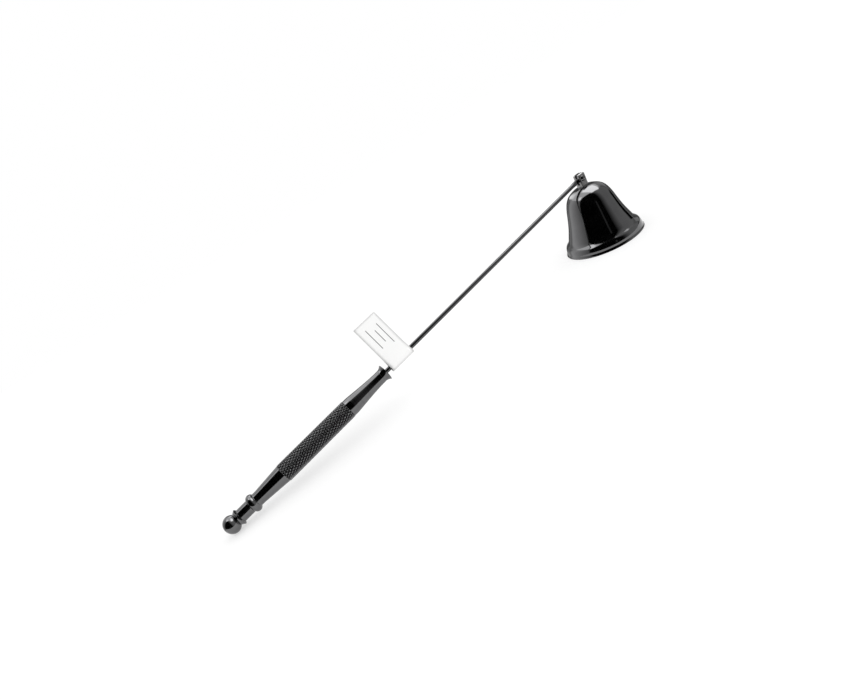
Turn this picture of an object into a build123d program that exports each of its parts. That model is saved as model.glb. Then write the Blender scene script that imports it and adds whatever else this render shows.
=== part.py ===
from build123d import *
import os
from math import acos, asin, cos, degrees, radians, sin, sqrt

# Candle snuffer: a bell that hangs by a hinge on a long wire stem with a turned, knurled handle.
# Sizes are in millimetres and angles in degrees. The bell stands mouth down on z = 0, centred on the
# origin. The hinge pin lies along Y above the crown, and the handle reaches along -X and down, until
# its end ball rests on z = 0 as well.

# Bell, a spun shell with a flared lip and a band round its mouth
MOUTH_DIAMETER = 40.2
BELL_HEIGHT = 30.3
BELL_WALL = 0.8
RIM_THICKNESS = 1.4
MOUTH_BORE_LENGTH = 1.6
LIP_EDGE_ROUND = 0.2
LIP_HEIGHT = 1.4
LIP_FLARE = 0.57
BAND_HEIGHT = 1.35
BAND_TAPER = 0.2
SHOULDER_HEIGHT = 4.15
SHOULDER_DEPTH = 2.73
CROWN_SEAT_DIAMETER = 5.8
# Cove of the lip: shares of its height and of its flare, at the middle of the cove's arc
COVE_HEIGHT_SHARE = 0.42
COVE_FLARE_SHARE = 0.62
# Shoulder of the band: shares of its height above the band and of its depth towards the waist
SHOULDER_HEIGHT_SHARES = (0.32, 0.54, 0.71)
SHOULDER_DEPTH_SHARES = (0.18, 0.50, 0.74)
# Wall of the bell: shares of its rise from the waist to the crown, and of the waist's radius
WALL_RISE_SHARES = (0.23, 0.49, 0.73, 0.88, 0.96)
WALL_RADIUS_SHARES = (0.876, 0.769, 0.668, 0.540, 0.369)

# Hinge fork on the crown, with the stud that holds it
FORK_WIDTH = 4.0
FORK_HEIGHT = 6.5
FORK_SLOT = 1.3
FORK_SLOT_FLOOR = 1.2
FORK_TOP_ROUND = 0.7
FORK_EDGE_ROUND = 0.25
PIVOT_ABOVE_CROWN = 3.8
STUD_DIAMETER = 2.5
STUD_END_PROUD = 0.5
STUD_CLEARANCE = 0.05
NUT_ACROSS_FLATS = 5.0
NUT_THICKNESS = 2.0
WASHER_DIAMETER = 6.0
WASHER_THICKNESS = 0.5

# Hinge pin, a rivet
PIN_DIAMETER = 1.2
PIN_HEAD_DIAMETER = 2.9
PIN_HEAD_HEIGHT = 0.7
PIN_TAIL_DIAMETER = 1.9
PIN_TAIL_HEIGHT = 0.4
PIN_FIT = 0.01
PIN_RUNNING_FIT = 0.05

# Stem, a wire that runs from the hinge through the whole handle
STEM_DIAMETER = 2.0
STEM_FREE_LENGTH = 136.45
EYE_DIAMETER = 2.7
TONGUE_HEIGHT = 2.2
TONGUE_THICKNESS = 1.1
TONGUE_LENGTH = 3.9
TONGUE_TAPER = 2.4
STEM_FIT = 0.03
STEM_END_GAP = 0.4

# Handle, turned pieces that are threaded on the stem and clamped by the end ball
BALL_DIAMETER = 7.8
BALL_HALF_LENGTH = 3.35
BALL_NECK_DIAMETER = 5.4
BALL_THREAD_DEPTH = 4.6
FLANGE_DIAMETER = 7.3
FLANGE_RISE = 1.45
FLANGE_EDGE = 0.15
FLANGE_FALL = 0.5
FLANGE_FACE_DIAMETER = 5.8
NECK_DIAMETER = 5.7
NECK_LENGTH = 5.0
BEAD_DIAMETER = 8.0
BEAD_LENGTH = 3.2
TAIL_COLLAR_LENGTH = 1.6
TAIL_CONE_FOOT_DIAMETER = 5.96
TAIL_CONE_LENGTH = 12.6
BAR_DIAMETER = 8.0
GRIP_DIAMETER = 8.35
GRIP_LENGTH = 36.2
GRIP_END_CHAMFER = 0.15
SPIGOT_DIAMETER = 5.0
SPIGOT_LENGTH = 3.0
SPIGOT_END_GAP = 0.1
SPIGOT_FIT = 0.02
NOSE_EDGE_LENGTH = 2.2
NOSE_CONE_LENGTH = 17.1
NOSE_TIP_DIAMETER = 5.7
COLLAR_LENGTH = 2.8
COLLAR_RIM_DIAMETER = 7.7
COLLAR_RIM_EDGE = 0.2
COLLAR_DISH = 0.9
COLLAR_RIM_WALL = 0.25
COLLAR_DISH_FLOOR_DIAMETER = 3.6
# Nose cone: shares of its length, and of the way in from the bar's radius to the tip's
NOSE_LENGTH_SHARES = (0.2, 0.4, 0.6, 0.8)
NOSE_FALL_SHARES = (0.27, 0.54, 0.77, 0.93)
# Collar: shares of its length and of its flare, at the middle of the flare's curve
FLARE_LENGTH_SHARE = 0.6
FLARE_RISE_SHARE = 0.28

# Paper tag, a strip folded round the stem and glued to itself
TAG_WIDTH = 12.5
TAG_REACH = 22.5
TAG_LOOP_REACH = 2.3
TAG_LOOP_JOIN = 4.2
TAG_PAPER = 0.15
TAG_STEM_CLEARANCE = 0.35
TAG_GAP_TO_HANDLE = 2.8
TAG_TILT = 25.0

# One overrun serves every cut
OVERRUN = 1.0

mouth_radius = MOUTH_DIAMETER / 2
bore_radius = mouth_radius - RIM_THICKNESS
band_foot_radius = mouth_radius - LIP_FLARE
band_top_radius = band_foot_radius - BAND_TAPER
band_top = LIP_HEIGHT + BAND_HEIGHT
waist_radius = band_top_radius - SHOULDER_DEPTH
waist_height = band_top + SHOULDER_HEIGHT
seat_radius = CROWN_SEAT_DIAMETER / 2
pivot_height = BELL_HEIGHT + PIVOT_ABOVE_CROWN
slot_floor = BELL_HEIGHT + FORK_SLOT_FLOOR
washer_top = BELL_HEIGHT - BELL_WALL
nut_top = washer_top - WASHER_THICKNESS
nut_bottom = nut_top - NUT_THICKNESS
stud_radius = STUD_DIAMETER / 2
stem_radius = STEM_DIAMETER / 2
spigot_radius = SPIGOT_DIAMETER / 2
bar_radius = BAR_DIAMETER / 2
nose_tip_radius = NOSE_TIP_DIAMETER / 2

# Stations along the handle, from the outer end of the ball towards the hinge
ball_radius = BALL_DIAMETER / 2
ball_neck_angle = degrees(acos(BALL_NECK_DIAMETER / BALL_DIAMETER))
ball_neck_station = BALL_HALF_LENGTH * (1 + sin(radians(ball_neck_angle)))
flange_station = ball_neck_station + FLANGE_RISE
tail_station = flange_station + FLANGE_EDGE + FLANGE_FALL
bead_station = tail_station + NECK_LENGTH
cone_station = bead_station + BEAD_LENGTH + TAIL_COLLAR_LENGTH
grip_station = cone_station + TAIL_CONE_LENGTH
nose_station = grip_station + GRIP_LENGTH
collar_station = nose_station + NOSE_EDGE_LENGTH + NOSE_CONE_LENGTH
handle_length = collar_station + COLLAR_LENGTH
pivot_station = handle_length + STEM_FREE_LENGTH


def resting_slant():
    """Angle below level at which the end ball just touches the surface that the bell stands on."""
    reach = pivot_station - BALL_HALF_LENGTH
    slant = 0.0
    for _ in range(20):
        drop = sqrt((ball_radius * cos(slant)) ** 2 + (BALL_HALF_LENGTH * sin(slant)) ** 2)
        slant = asin((pivot_height - drop) / reach)
    return degrees(slant)


pivot = Pos(0, 0, pivot_height)
# The handle's own frame has its axis along Z, the ball's outer end at zero and -X upwards
handle_frame = pivot * Rot(0, 90 - resting_slant(), 0) * Pos(0, 0, -pivot_station)


def turned(*edges):
    """Solid of revolution about Z from edges drawn with the radius along x and the height along y."""
    return revolve(Plane.XZ * make_face(list(edges)), Axis.Z)


def run(*points):
    """Straight edges from each point to the next."""
    return [Line(start, end) for start, end in zip(points, points[1:])]


def rod(radius, bottom, top):
    """Round bar or cutter about Z from bottom to top."""
    return Pos(0, 0, bottom) * Cylinder(radius, top - bottom, align=(Align.CENTER, Align.CENTER, Align.MIN))


def cross_rod(radius, length):
    """Round bar or cutter along Y, centred on the origin."""
    return Rot(90, 0, 0) * Cylinder(radius, length)


def bell_side(foot_radius, waist, crown_radius, crown_height):
    """Curves up one side of the bell, over the band's shoulder and the wall to the crown's flat."""
    shoulder = [(foot_radius, band_top)]
    for rise, depth in zip(SHOULDER_HEIGHT_SHARES, SHOULDER_DEPTH_SHARES):
        shoulder.append((foot_radius - depth * (foot_radius - waist), band_top + rise * SHOULDER_HEIGHT))
    shoulder.append((waist, waist_height))
    wall = [(waist, waist_height)]
    for rise, width in zip(WALL_RISE_SHARES, WALL_RADIUS_SHARES):
        wall.append((width * waist, waist_height + rise * (crown_height - waist_height)))
    wall.append((crown_radius, crown_height))
    lean = (wall[1][0] - wall[0][0], wall[1][1] - wall[0][1])
    band_lean = (-BAND_TAPER, BAND_HEIGHT)
    return [Spline(*shoulder, tangents=(band_lean, lean)), Spline(*wall, tangents=(lean, (-1, 0)))]


def make_bell_shell():
    """Spun bell: a flared lip, a band round the mouth, a hollow wall and a domed crown with a flat seat."""
    foot = mouth_radius - LIP_EDGE_ROUND
    turn = LIP_EDGE_ROUND * sin(radians(45))
    edge = ThreePointArc((foot, 0), (foot + turn, LIP_EDGE_ROUND - turn), (mouth_radius, LIP_EDGE_ROUND))
    middle = (mouth_radius - COVE_FLARE_SHARE * LIP_FLARE,
              LIP_EDGE_ROUND + COVE_HEIGHT_SHARE * (LIP_HEIGHT - LIP_EDGE_ROUND))
    cove = ThreePointArc((mouth_radius, LIP_EDGE_ROUND), middle, (band_foot_radius, LIP_HEIGHT))
    band = Line((band_foot_radius, LIP_HEIGHT), (band_top_radius, band_top))
    side = bell_side(band_top_radius, waist_radius, seat_radius, BELL_HEIGHT)
    body = turned(edge, cove, band, *side,
                  *run((seat_radius, BELL_HEIGHT), (0, BELL_HEIGHT), (0, 0), (foot, 0)))
    inner_foot = band_top_radius - BELL_WALL
    inner_seat = WASHER_DIAMETER / 2 + BELL_WALL / 2
    inner_side = bell_side(inner_foot, waist_radius - BELL_WALL, inner_seat, washer_top)
    hollow = turned(*inner_side, *run((inner_seat, washer_top), (0, washer_top), (0, -OVERRUN),
                                      (bore_radius, -OVERRUN), (bore_radius, MOUTH_BORE_LENGTH),
                                      (inner_foot, band_top)))
    return body - hollow - rod(stud_radius + STUD_CLEARANCE, nut_top, BELL_HEIGHT + OVERRUN)


def make_hinge_fork():
    """Square block with a slot across it for the stem's tongue, and a threaded stud underneath."""
    block = Box(FORK_WIDTH, FORK_WIDTH, FORK_HEIGHT, align=(Align.CENTER, Align.CENTER, Align.MIN))
    block = fillet(block.edges().filter_by(Axis.Z), FORK_EDGE_ROUND)
    block = fillet(block.faces().sort_by(Axis.Z)[-1].edges(), FORK_TOP_ROUND)
    slot = Box(FORK_WIDTH + OVERRUN, FORK_SLOT, FORK_HEIGHT, align=(Align.CENTER, Align.CENTER, Align.MIN))
    block = Pos(0, 0, BELL_HEIGHT) * block - Pos(0, 0, slot_floor) * slot
    block = block - pivot * cross_rod(PIN_DIAMETER / 2 + PIN_FIT, FORK_WIDTH + OVERRUN)
    return block + rod(stud_radius, nut_bottom - STUD_END_PROUD, BELL_HEIGHT)


def make_stud_washer():
    """Flat washer against the inside of the crown."""
    hole = rod(stud_radius + STUD_CLEARANCE, nut_top - OVERRUN, washer_top + OVERRUN)
    return rod(WASHER_DIAMETER / 2, nut_top, washer_top) - hole


def make_stud_nut():
    """Hexagon nut that clamps the fork to the crown, its lower corners turned off."""
    corner = NUT_ACROSS_FLATS / sqrt(3)
    flat = NUT_ACROSS_FLATS / 2
    prism = Pos(0, 0, nut_bottom) * extrude(RegularPolygon(corner, 6), NUT_THICKNESS)
    cone = turned(*run((0, nut_bottom), (flat, nut_bottom), (corner, nut_bottom + corner - flat),
                       (corner, nut_top), (0, nut_top), (0, nut_bottom)))
    return (prism & cone) - rod(stud_radius + PIN_FIT, nut_bottom - OVERRUN, nut_top + OVERRUN)


def cap(radius, base, crest):
    """Arc of a low round dome, from its rim at the base's height to its crest on the axis."""
    rise = crest - base
    curve = (radius ** 2 + rise ** 2) / (2 * rise)
    half_turn = asin(radius / abs(curve)) / 2
    middle = (abs(curve) * sin(half_turn), crest - curve * (1 - cos(half_turn)))
    return ThreePointArc((radius, base), middle, (0, crest))


def make_hinge_pin():
    """Rivet through both ears of the fork, with a domed head in front and a peened tail behind."""
    ear = FORK_WIDTH / 2
    shank = PIN_DIAMETER / 2
    head = PIN_HEAD_DIAMETER / 2
    tail = PIN_TAIL_DIAMETER / 2
    head_crest = ear + PIN_HEAD_HEIGHT
    tail_crest = -ear - PIN_TAIL_HEIGHT
    rivet = turned(cap(tail, -ear, tail_crest), *run((tail, -ear), (shank, -ear), (shank, ear), (head, ear)),
                   cap(head, ear, head_crest), *run((0, head_crest), (0, tail_crest)))
    return pivot * Rot(90, 0, 0) * rivet


def make_stem():
    """Round wire whose front end is flattened to a tongue with an eye for the pin."""
    tongue_start = pivot_station - TONGUE_LENGTH
    taper_start = tongue_start - TONGUE_TAPER
    wire = rod(stem_radius, tail_station - BALL_THREAD_DEPTH + STEM_END_GAP, taper_start)
    taper = loft([Pos(0, 0, taper_start) * Circle(stem_radius),
                  Pos(0, 0, tongue_start) * Rectangle(TONGUE_HEIGHT, TONGUE_THICKNESS)])
    tongue = Pos(0, 0, tongue_start) * Box(TONGUE_HEIGHT, TONGUE_THICKNESS, TONGUE_LENGTH,
                                           align=(Align.CENTER, Align.CENTER, Align.MIN))
    eye = Pos(0, 0, pivot_station) * cross_rod(EYE_DIAMETER / 2, TONGUE_THICKNESS)
    hole = cross_rod(PIN_DIAMETER / 2 + PIN_RUNNING_FIT, TONGUE_THICKNESS + OVERRUN)
    return wire + taper + tongue + eye - Pos(0, 0, pivot_station) * hole


def make_end_ball():
    """Slightly flattened ball with a flange, tapped for the stem's threaded end."""
    ball = EllipticalCenterArc((0, BALL_HALF_LENGTH), ball_radius, BALL_HALF_LENGTH, start_angle=-90,
                               arc_size=90 + ball_neck_angle)
    body = turned(ball, *run((BALL_NECK_DIAMETER / 2, ball_neck_station), (FLANGE_DIAMETER / 2, flange_station),
                             (FLANGE_DIAMETER / 2, flange_station + FLANGE_EDGE),
                             (FLANGE_FACE_DIAMETER / 2, tail_station), (0, tail_station), (0, 0)))
    return body - rod(stem_radius + STEM_FIT, tail_station - BALL_THREAD_DEPTH, tail_station + OVERRUN)


def make_tail_ferrule():
    """Neck, bead and cone in one turned piece, with a spigot into the grip."""
    neck = NECK_DIAMETER / 2
    foot = TAIL_CONE_FOOT_DIAMETER / 2
    bead_end = bead_station + BEAD_LENGTH
    bead = ThreePointArc((neck, bead_station), (BEAD_DIAMETER / 2, bead_station + BEAD_LENGTH / 2),
                         (foot, bead_end))
    body = turned(*run((0, tail_station), (neck, tail_station), (neck, bead_station)), bead,
                  *run((foot, bead_end), (foot, cone_station), (bar_radius, grip_station),
                       (spigot_radius, grip_station), (spigot_radius, grip_station + SPIGOT_LENGTH),
                       (0, grip_station + SPIGOT_LENGTH), (0, tail_station)))
    return body - rod(stem_radius + STEM_FIT, 0, pivot_station)


def make_knurled_grip():
    """Sleeve with a chamfer and a counterbore at each end; its knurl is drawn only on the surface."""
    grip = GRIP_DIAMETER / 2
    inset = grip - GRIP_END_CHAMFER
    body = turned(*run((0, grip_station), (inset, grip_station), (grip, grip_station + GRIP_END_CHAMFER),
                       (grip, nose_station - GRIP_END_CHAMFER), (inset, nose_station), (0, nose_station),
                       (0, grip_station)))
    seat = spigot_radius + SPIGOT_FIT
    depth = SPIGOT_LENGTH + SPIGOT_END_GAP
    body = body - rod(seat, grip_station - OVERRUN, grip_station + depth)
    body = body - rod(seat, nose_station - depth, nose_station + OVERRUN)
    return body - rod(stem_radius + STEM_FIT, 0, pivot_station)


def make_nose_ferrule():
    """Hollow-sided cone in front of the grip, with a spigot into it."""
    cone_start = nose_station + NOSE_EDGE_LENGTH
    cone = [(bar_radius, cone_start)]
    for along, fall in zip(NOSE_LENGTH_SHARES, NOSE_FALL_SHARES):
        cone.append((bar_radius - fall * (bar_radius - nose_tip_radius), cone_start + along * NOSE_CONE_LENGTH))
    cone.append((nose_tip_radius, collar_station))
    slope = (cone[1][0] - cone[0][0], cone[1][1] - cone[0][1])
    body = turned(*run((0, nose_station - SPIGOT_LENGTH), (spigot_radius, nose_station - SPIGOT_LENGTH),
                       (spigot_radius, nose_station), (bar_radius, nose_station), (bar_radius, cone_start)),
                  Spline(*cone, tangents=(slope, (0, 1))),
                  *run((nose_tip_radius, collar_station), (0, collar_station),
                       (0, nose_station - SPIGOT_LENGTH)))
    return body - rod(stem_radius + STEM_FIT, 0, pivot_station)


def make_nose_collar():
    """Thin flared collar with a dished front, where the stem leaves the handle."""
    rim = COLLAR_RIM_DIAMETER / 2
    rim_back = handle_length - COLLAR_RIM_EDGE
    middle = (nose_tip_radius + FLARE_RISE_SHARE * (rim - nose_tip_radius),
              collar_station + FLARE_LENGTH_SHARE * (rim_back - collar_station))
    flare = ThreePointArc((nose_tip_radius, collar_station), middle, (rim, rim_back))
    floor = handle_length - COLLAR_DISH
    body = turned(*run((0, collar_station), (nose_tip_radius, collar_station)), flare,
                  *run((rim, rim_back), (rim, handle_length), (rim - COLLAR_RIM_WALL, handle_length),
                       (COLLAR_DISH_FLOOR_DIAMETER / 2, floor), (0, floor), (0, collar_station)))
    return body - rod(stem_radius + STEM_FIT, 0, pivot_station)


def teardrop(centre, radius, lean):
    """Circle with straight sides that meet in a point further along x, each leaning by the same angle."""
    touch = (centre + radius * sin(lean), radius * cos(lean))
    apex = (centre + radius / sin(lean), 0)
    wedge = make_face(run(apex, touch, (touch[0], -touch[1]), apex))
    return Pos(centre, 0) * Circle(radius) + wedge


def make_paper_tag():
    """Paper strip folded round the stem, its two leaves glued together to a flag that leans back."""
    inner = stem_radius + TAG_STEM_CLEARANCE
    centre = inner + TAG_PAPER - TAG_LOOP_REACH
    lean = asin(inner / (TAG_LOOP_JOIN - centre))
    flag = Pos((TAG_LOOP_JOIN + TAG_REACH) / 2, 0) * Rectangle(TAG_REACH - TAG_LOOP_JOIN, 2 * TAG_PAPER)
    section = teardrop(centre, inner + TAG_PAPER, lean) + flag - teardrop(centre, inner, lean)
    start = handle_length + TAG_GAP_TO_HANDLE
    return Pos(0, 0, start) * Rot(0, 0, 180 - TAG_TILT) * extrude(section, TAG_WIDTH)


def save(name, solid):
    """Write one piece under its own name."""
    export_step(solid, f"parts/{name}.step")


def main():
    """Build every piece in place and write it."""
    os.makedirs("parts", exist_ok=True)
    save("bell_shell", make_bell_shell())
    save("hinge_fork", make_hinge_fork())
    save("stud_washer", make_stud_washer())
    save("stud_nut", make_stud_nut())
    save("hinge_pin", make_hinge_pin())
    save("stem", handle_frame * make_stem())
    save("end_ball", handle_frame * make_end_ball())
    save("tail_ferrule", handle_frame * make_tail_ferrule())
    save("knurled_grip", handle_frame * make_knurled_grip())
    save("nose_ferrule", handle_frame * make_nose_ferrule())
    save("nose_collar", handle_frame * make_nose_collar())
    save("paper_tag", handle_frame * make_paper_tag())


main()
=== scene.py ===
from math import acos, asin, atan2, cos, pi, radians, sin, sqrt

import bmesh
import bpy
import numpy as np
from bmesh.types import BMEdge, BMVert
from mathutils import Matrix


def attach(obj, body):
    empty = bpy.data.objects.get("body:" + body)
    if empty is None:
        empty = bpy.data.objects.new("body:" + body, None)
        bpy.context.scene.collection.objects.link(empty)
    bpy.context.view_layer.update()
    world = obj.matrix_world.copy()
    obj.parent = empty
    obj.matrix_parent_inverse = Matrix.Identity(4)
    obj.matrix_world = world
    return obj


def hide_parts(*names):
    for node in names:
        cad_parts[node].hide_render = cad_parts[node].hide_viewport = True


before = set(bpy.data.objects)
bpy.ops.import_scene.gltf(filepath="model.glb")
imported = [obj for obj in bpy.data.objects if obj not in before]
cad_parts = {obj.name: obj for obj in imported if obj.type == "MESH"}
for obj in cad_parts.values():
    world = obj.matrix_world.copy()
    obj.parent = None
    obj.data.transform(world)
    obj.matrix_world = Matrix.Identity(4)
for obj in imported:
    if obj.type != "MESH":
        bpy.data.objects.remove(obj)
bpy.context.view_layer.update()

bl_info = {
    "name": "Candle snuffer",
    "version": (1, 0, 0),
    "blender": (4, 5, 0),
    "location": "View3D > Sidebar > Snuffer",
    "description": "A bell hinged to a wire stem, with a knurled handle and a folded paper tag",
    "category": "Add Mesh",
}

# Steps round the bell, the handle, the nut, the rivet, and small holes and the wire
BELL_STEPS = 192
HANDLE_STEPS = 144
NUT_STEPS = 96
RIVET_STEPS = 64
SMALL_STEPS = 48
# Steps on an arc of an outline, on the collar's flare, the bead and the ball, and between two knots
ARC_STEPS = 8
FLARE_STEPS = 14
BEAD_STEPS = 20
BALL_STEPS = 40
FLOW_STEPS = 7
# Steps on the rounds of the block's top and upright edges, and of every soft edge
TOP_ROUND_STEPS = 6
EDGE_ROUND_STEPS = 3
SOFT_EDGE_STEPS = 2
# Steps along each leaf of the tag, round its fold, and along the stem
LEAF_STEPS = 12
FOLD_STEPS = 32
TAG_STRIPS = 8
# Tries until the resting slant stays the same
SLANT_TRIES = 20
# Distance within which two points are one
SAME_POINT = 2e-7
FULL_TURN = 2 * pi
BLACK = (0, 0, 0, 1)
WHITE = (1, 1, 1, 1)


# Sizes and colours that a user would change

def coordinate(name, description, default, **limits):
    """A coordinate in metres that is shown in the sidebar."""
    return bpy.props.FloatProperty(name=name, description=description, default=default, precision=5,
                                   subtype="DISTANCE", unit="LENGTH", **limits)


def length(name, description, default):
    """A size in metres that is shown in the sidebar."""
    return coordinate(name, description, default, min=0.0)


def tint(name, description, default):
    """A colour that is shown in the sidebar."""
    return bpy.props.FloatVectorProperty(name=name, description=description, default=default, size=3,
                                         min=0.0, max=1.0, subtype="COLOR")


def share(name, description, default):
    """A number from 0 to 1 that is shown in the sidebar."""
    return bpy.props.FloatProperty(name=name, description=description, default=default, min=0.0, max=1.0,
                                   subtype="FACTOR")


def angle(name, description, default):
    """An angle, given in degrees, that is shown in the sidebar."""
    return bpy.props.FloatProperty(name=name, description=description, default=radians(default),
                                   subtype="ANGLE", unit="ROTATION")


class BellSizes(bpy.types.PropertyGroup):
    """Sizes of the spun bell."""
    mouth: length("Mouth", "Diameter over the flared lip", 0.0402)
    height: length("Height", "From the mouth to the flat on the crown", 0.0303)
    wall: length("Wall", "Thickness of the shell", 0.0008)
    rim: length("Rim", "Thickness of the foot at the mouth", 0.0014)
    bore_length: length("Bore length", "Straight part inside the mouth", 0.0016)
    lip_edge: length("Lip edge", "Radius on the outer edge of the lip", 0.0002)
    lip_height: length("Lip height", "Height of the cove over the lip", 0.0014)
    lip_flare: length("Lip flare", "How far the lip stands out past the band", 0.00057)
    band_height: length("Band height", "Straight face of the band", 0.00135)
    band_taper: length("Band taper", "How far the band's face leans in", 0.0002)
    band_bulge: length("Band bulge", "How far the band's face bulges", 0.00004)
    shoulder_height: length("Shoulder height", "From the band to the waist", 0.00415)
    shoulder_depth: length("Shoulder depth", "How far the waist lies inside the band", 0.00273)
    seat: length("Seat", "Diameter of the flat on the crown", 0.0058)


class HingeSizes(bpy.types.PropertyGroup):
    """Sizes of the fork, its stud and fasteners, and the rivet."""
    fork_width: length("Fork width", "Side of the square block", 0.004)
    fork_height: length("Fork height", "Height of the block over the crown", 0.0065)
    slot: length("Slot", "Width of the slot between the ears", 0.0013)
    slot_floor: length("Slot floor", "Solid height under the slot", 0.0012)
    top_round: length("Top round", "Radius round the top of the block", 0.0007)
    edge_round: length("Edge round", "Radius on the upright edges", 0.00025)
    pivot: length("Pivot", "Height of the pin over the crown", 0.0038)
    stud: length("Stud", "Diameter of the stud under the block", 0.0025)
    stud_proud: length("Stud end", "How far the stud stands out of the nut", 0.0005)
    thread_pitch: length("Thread pitch", "Rise of the stud's thread in one turn", 0.00045)
    thread_depth: length("Thread depth", "Depth of the stud's thread", 0.00014)
    nut: length("Nut", "Size across the nut's flats", 0.005)
    nut_thickness: length("Nut thickness", "Height of the nut", 0.002)
    washer: length("Washer", "Diameter of the washer", 0.006)
    washer_thickness: length("Washer thickness", "Thickness of the washer", 0.0005)
    pin: length("Pin", "Diameter of the rivet's shank", 0.0012)
    pin_head: length("Pin head", "Diameter of the rivet's head", 0.0029)
    pin_head_height: length("Pin head height", "Height of the domed head", 0.0007)
    pin_tail: length("Pin tail", "Diameter of the peened end", 0.0019)
    pin_tail_height: length("Pin tail height", "Height of the peened end", 0.0004)
    fit: length("Fit", "Clearance of the pin and the stud in their holes", 0.00002)


class StemSizes(bpy.types.PropertyGroup):
    """Sizes of the wire stem."""
    wire: length("Wire", "Diameter of the wire", 0.002)
    free: length("Free length", "From the handle's front to the hinge pin", 0.13645)
    eye: length("Eye", "Diameter of the eye round the pin", 0.0027)
    tongue_height: length("Tongue height", "Height of the flattened end", 0.0022)
    tongue_thickness: length("Tongue thickness", "Thickness of the flattened end", 0.0011)
    tongue: length("Tongue length", "From the flattened end's start to the pin", 0.0039)
    taper: length("Taper", "Length over which the wire turns flat", 0.0024)
    running_fit: length("Running fit", "Clearance of the pin in the eye", 0.00005)
    end_gap: length("End gap", "Room at the end of the hole in the ball", 0.0004)


class HandleSizes(bpy.types.PropertyGroup):
    """Sizes of the turned pieces that are threaded on the stem."""
    ball: length("Ball", "Diameter of the end ball", 0.0078)
    ball_half: length("Ball half length", "Half of the ball's length along the handle", 0.00335)
    ball_neck: length("Ball neck", "Diameter where the ball meets its flange", 0.0054)
    ball_thread: length("Ball thread", "Depth of the hole in the ball", 0.0046)
    flange: length("Flange", "Diameter of the flange behind the ball", 0.0073)
    flange_rise: length("Flange rise", "From the ball to the flange's edge", 0.00145)
    flange_edge: length("Flange edge", "Width of the flange's edge", 0.00015)
    flange_fall: length("Flange fall", "From the flange's edge to its face", 0.0005)
    flange_face: length("Flange face", "Diameter of the flange's flat face", 0.0058)
    neck: length("Neck", "Diameter of the neck", 0.0057)
    neck_length: length("Neck length", "From the flange to the bead", 0.005)
    bead: length("Bead", "Diameter of the bead", 0.008)
    bead_length: length("Bead length", "Length of the bead", 0.0032)
    tail_collar: length("Tail collar", "Straight part in front of the bead", 0.0016)
    cone_foot: length("Cone foot", "Diameter of the tail cone's thin end", 0.00596)
    cone_length: length("Cone length", "Length of the tail cone", 0.0126)
    bar: length("Bar", "Diameter of the plain bar beside the grip", 0.008)
    grip: length("Grip", "Diameter over the knurl", 0.00835)
    grip_length: length("Grip length", "Length of the knurled sleeve", 0.0362)
    spigot: length("Spigot", "Diameter of the spigots inside the grip", 0.005)
    spigot_length: length("Spigot length", "Length of each spigot", 0.003)
    nose_edge: length("Nose edge", "Straight part in front of the grip", 0.0022)
    nose_cone: length("Nose cone", "Length of the hollow-sided nose", 0.0171)
    nose_tip: length("Nose tip", "Diameter of the nose's thin end", 0.0057)
    collar_length: length("Collar length", "Length of the flared collar", 0.0028)
    collar_rim: length("Collar rim", "Diameter over the collar's rim", 0.0077)
    collar_edge: length("Collar edge", "Width of the rim's edge", 0.0002)
    collar_dish: length("Collar dish", "Depth of the dish in the collar's front", 0.0009)
    collar_wall: length("Collar wall", "Thickness of the rim", 0.00025)
    dish_floor: length("Dish floor", "Diameter of the dish's floor", 0.0036)
    bore_fit: length("Bore fit", "Clearance of the stem in the handle's bores", 0.00003)


class KnurlSizes(bpy.types.PropertyGroup):
    """Sizes of the diamond knurl."""
    starts: bpy.props.IntProperty(name="Starts", description="Diamonds round the grip", default=22,
                                  min=6)
    pitch: length("Pitch", "Length of one diamond along the grip", 0.00203)
    depth: length("Depth", "Depth of the grooves between the diamonds", 0.0003)
    groove: length("Groove", "Width of one flank of a groove", 0.0004)
    crest_round: length("Crest round", "Softened edge of each diamond", 0.00003)


class TagSizes(bpy.types.PropertyGroup):
    """Sizes of the folded paper tag."""
    width: length("Width", "Size along the stem", 0.0125)
    reach: length("Reach", "From the stem's axis to the far edge", 0.0225)
    loop_reach: length("Loop reach", "From the stem's axis to the fold's far side", 0.0023)
    loop_join: length("Loop join", "From the stem's axis to where the leaves meet", 0.0042)
    paper: length("Paper", "Thickness of one leaf", 0.00015)
    clearance: length("Clearance", "Room between the stem and the fold", 0.00035)
    gap: length("Gap", "From the handle's front to the tag", 0.0028)
    tilt: angle("Tilt", "How far the flag leans back from upright", 25.0)
    # Painted shade: the paper is drawn greyer in a strip along its edges
    edge_shade_width: length("Grey width", "Width of the greyer strip along the edges", 0.0011)
    rule_width: length("Rule width", "Thickness of the ruled lines", 0.0003)


class Finish(bpy.types.PropertyGroup):
    """Colours and gloss of the surfaces."""
    plating: tint("Plating", "Colour of the dark nickel", (0.15, 0.15, 0.153))
    worn: tint("Rubbed plating", "Colour where edges are rubbed", (0.27, 0.265, 0.26))
    gloss: share("Roughness", "Roughness of the mirror plating", 0.07)
    wire_gloss: share("Wire roughness", "Roughness of the drawn wire", 0.06)
    knurl_gloss: share("Knurl roughness", "Roughness of the knurl's flanks", 0.16)
    wire: tint("Wire", "Colour of the plated wire", (0.09, 0.09, 0.092))
    knurled: tint("Knurled", "Colour of the knurl's crests", (0.2, 0.2, 0.203))
    satin: tint("Satin", "Colour of the brushed block on the crown", (0.27, 0.27, 0.272))
    satin_gloss: share("Satin roughness", "Roughness of the brushed block", 0.2)
    paper: tint("Paper", "Colour of the coated paper", (0.97, 0.97, 0.965))
    # Grey of the painted shade along the paper's edges
    paper_edge_shade: tint("Paper edge", "Colour of the paper's cut edge", (0.66, 0.66, 0.655))
    ink: tint("Ink", "Colour of the ruled lines", (0.05, 0.05, 0.05))


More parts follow.
